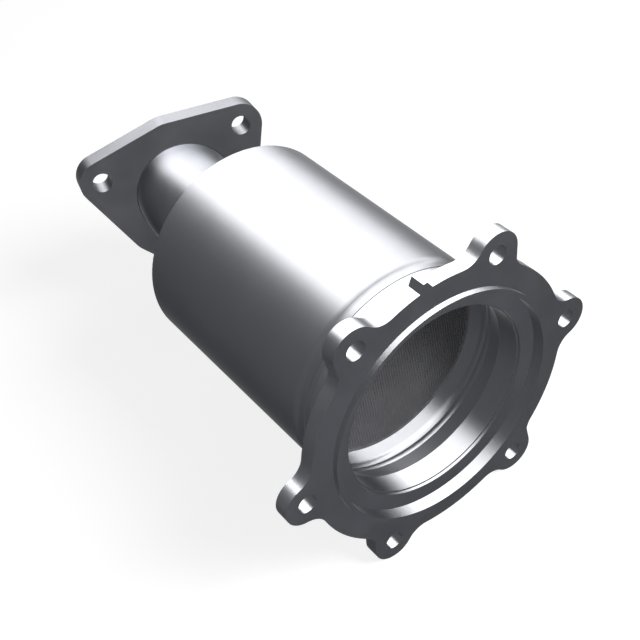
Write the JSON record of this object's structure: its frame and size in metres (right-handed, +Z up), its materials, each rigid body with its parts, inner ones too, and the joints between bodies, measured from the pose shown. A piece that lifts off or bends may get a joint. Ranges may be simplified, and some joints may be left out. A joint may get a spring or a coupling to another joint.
{
  "type": "catalytic converter",
  "caption": "Exhaust catalytic converter: round can with a lugged inlet flange and a tilted three bolt outlet flange on a bent neck.",
  "frame": {"origin": "centre of the inlet flange's face, in the plane the gasket lip stands on", "axes": "+X along the can's axis and out of the inlet, +Z up, two lugs of the inlet flange level at the bottom"},
  "size_m": [0.2306, 0.1538, 0.136],
  "materials": {
    "flange_steel": "satin",
    "shell_steel": "satin",
    "weld_steel": "rough",
    "brick_ceramic": "matte",
    "mat_fibre": "matte"
  },
  "bodies": {
    "root": {"inlet_flange": "flange_steel", "inlet_collar": "shell_steel", "inlet_flange_weld": "weld_steel", "shell": "shell_steel", "substrate": "brick_ceramic", "support_mat": "mat_fibre", "outlet_cone": "shell_steel", "rear_seam_weld": "weld_steel", "outlet_flange": "flange_steel", "outlet_flange_weld": "weld_steel", "outlet_seat_weld": "weld_steel"}
  },
  "joints": []
}
